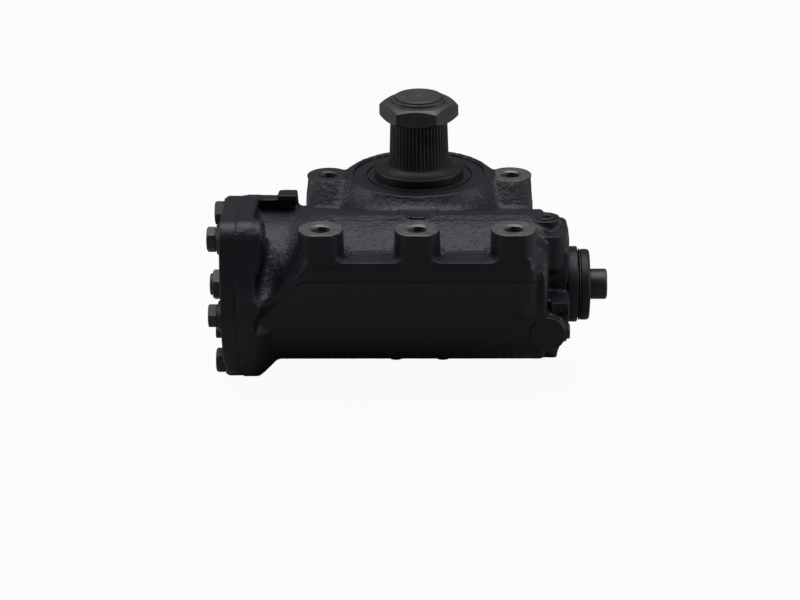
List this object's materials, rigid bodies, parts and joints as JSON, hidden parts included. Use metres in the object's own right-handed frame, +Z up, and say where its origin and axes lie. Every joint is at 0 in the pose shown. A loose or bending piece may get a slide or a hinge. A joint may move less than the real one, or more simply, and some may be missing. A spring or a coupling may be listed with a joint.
{
  "type": "recirculating ball power steering gear",
  "caption": "Heavy vehicle power steering gear with a cast housing, an upright serrated output shaft and an input shaft at its end.",
  "frame": {"origin": "Where the axis of the output shaft meets the plane of the mounting bosses, halfway between the two rear bosses.", "axes": "+Z up along the output shaft, +X along the cylinder towards the input shaft, -Y towards the row of three bosses."},
  "size_m": [0.397, 0.254, 0.2629],
  "materials": {
    "painted_casting": "satin black paint on cast iron",
    "black_paint": "satin black paint",
    "dark_steel": "dark phosphated steel",
    "bright_steel": "ground",
    "bare_iron": "machined",
    "black_rubber": "matt",
    "seal_plastic": "matt"
  },
  "bodies": {
    "case": {"housing": "painted_casting", "end_cover": "painted_casting", "end_cover_bolts": "black_paint", "end_cover_seal": "black_rubber", "stroke_screw": "black_paint", "stroke_locknut": "black_paint", "cover_plug": "black_paint", "tower_bearing": "bright_steel", "side_bearing": "bright_steel", "output_seal": "black_rubber", "seal_snap_ring": "bright_steel", "output_dust_cover": "black_rubber", "sector_thrust_washer": "bright_steel", "side_cover": "painted_casting", "side_cover_bolts": "black_paint", "side_cover_seal": "black_rubber", "adjusting_screw": "black_paint", "adjusting_locknut": "black_paint", "pressure_port_plug": "black_paint", "relief_valve_plug": "black_paint", "front_plug": "black_paint", "end_plug": "black_paint", "worm_bearing": "bright_steel", "input_cover": "black_paint", "input_bearing": "bright_steel", "input_seal": "black_rubber"},
    "output": {"sector_shaft": "dark_steel", "pitman_nut": "dark_steel", "screw_retainer": "bright_steel"},
    "plunger": {"piston": "bare_iron", "piston_ring": "seal_plastic", "piston_stop_button": "bright_steel", "recirculating_balls": "bright_steel", "return_guides": "bright_steel", "guide_clamp": "bright_steel", "clamp_screws": "bright_steel"},
    "screw": {"worm": "bright_steel", "valve_seal_rings": "seal_plastic", "torsion_bar": "bright_steel", "worm_pin": "bright_steel"},
    "input": {"input_shaft": "bright_steel", "input_pin": "bright_steel", "input_dust_disc": "black_paint"}
  },
  "joints": [
    {"name": "sector_turn", "type": "hinge", "parent": "case", "child": "output", "pos_m": [0, 0, 0], "axis": [0, 0, 1], "range_deg": [-45, 45]},
    {"name": "piston_slide", "type": "slide", "parent": "case", "child": "plunger", "axis": [1, 0, 0], "range_m": [-0.0355, 0.0355]},
    {"name": "worm_turn", "type": "hinge", "parent": "case", "child": "screw", "pos_m": [0, -0.085, -0.0864], "axis": [1, 0, 0], "range_deg": [-945, 945]},
    {"name": "valve_twist", "type": "hinge", "parent": "screw", "child": "input", "pos_m": [0, -0.085, -0.0864], "axis": [1, 0, 0], "range_deg": [-4, 4], "stiffness_Nm_per_rad": 60, "deforming": ["torsion_bar"]}
  ],
  "couplings": [
    {"joint": "piston_slide", "follows": "sector_turn", "m_per_rad": 0.045},
    {"joint": "worm_turn", "follows": "sector_turn", "ratio": -20.944}
  ]
}
